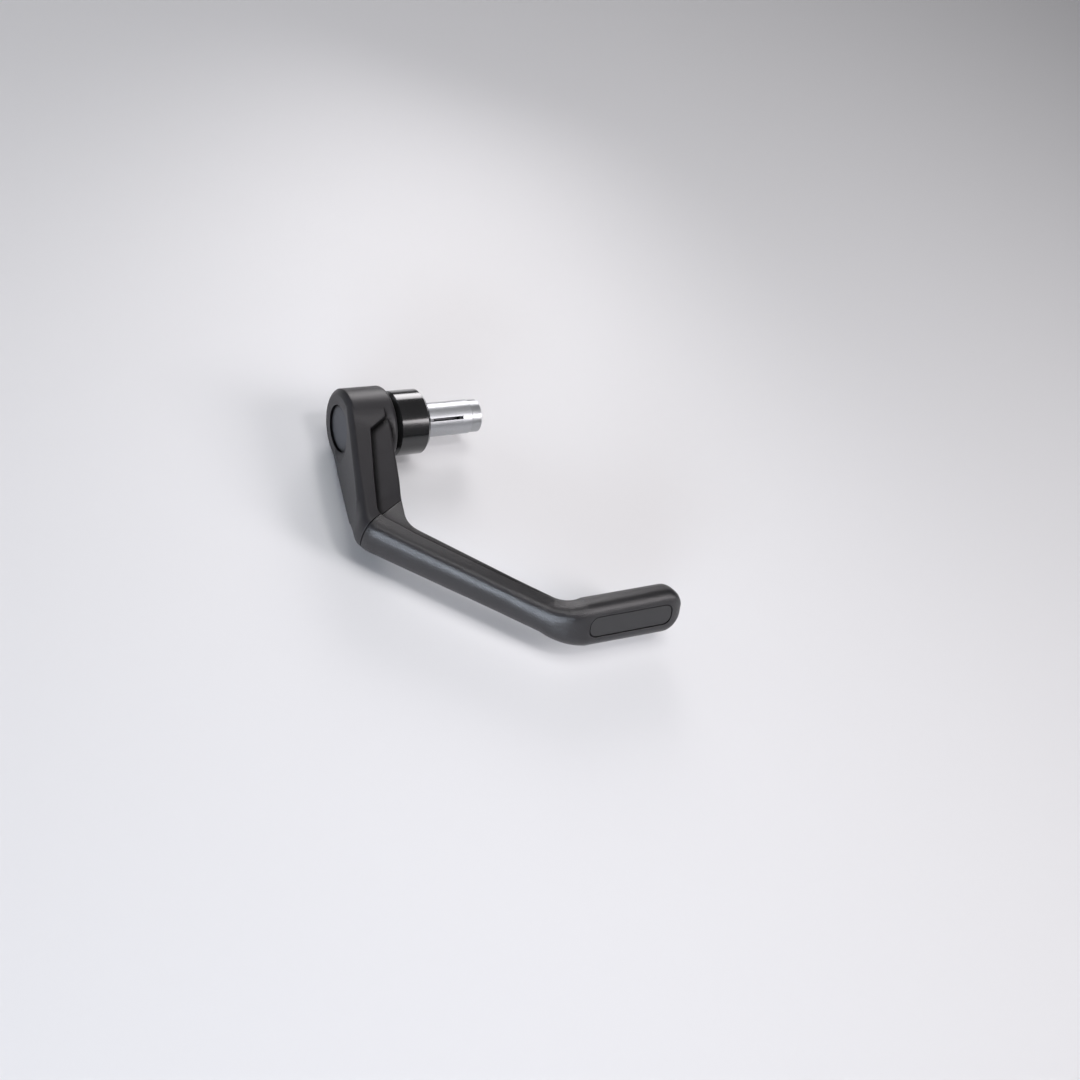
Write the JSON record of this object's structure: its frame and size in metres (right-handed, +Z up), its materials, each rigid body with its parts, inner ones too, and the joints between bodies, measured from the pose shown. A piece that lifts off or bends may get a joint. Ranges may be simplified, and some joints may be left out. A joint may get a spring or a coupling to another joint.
{
  "type": "brake lever guard",
  "caption": "Guard arm that clamps into a handlebar's end and bends round in front of the brake lever: a cast mount arm, a moulded ribbed bow with an inset plate, and an expander.",
  "frame": {"origin": "on the handlebar's axis, in the plane where the spacer meets the end of the bar", "axes": "+X forward, from the bar to the guard; +Y inboard along the bar; +Z up, out of the plane in which the guard is bent"},
  "size_m": [0.1602, 0.1373, 0.038],
  "materials": {
    "cast_black": "satin powder coat on cast aluminium",
    "moulded_black": "fine grained glass-filled nylon",
    "plate_grey": "matte, bare",
    "cap_black": "satin",
    "black_steel": "black oxide",
    "zinc_steel": "zinc plated",
    "gloss_anodised": "gloss black anodised, turned",
    "plain_aluminium": "turned"
  },
  "bodies": {
    "root": {"mount_arm": "cast_black", "guard_bow": "moulded_black", "emblem_plate": "plate_grey", "end_cap": "cap_black", "clamp_bolt": "black_steel", "bolt_washer": "zinc_steel", "bar_spacer": "gloss_anodised", "front_cone": "plain_aluminium", "expander_sleeve": "plain_aluminium", "cone_nut": "zinc_steel", "joint_screws": "black_steel"}
  },
  "joints": []
}
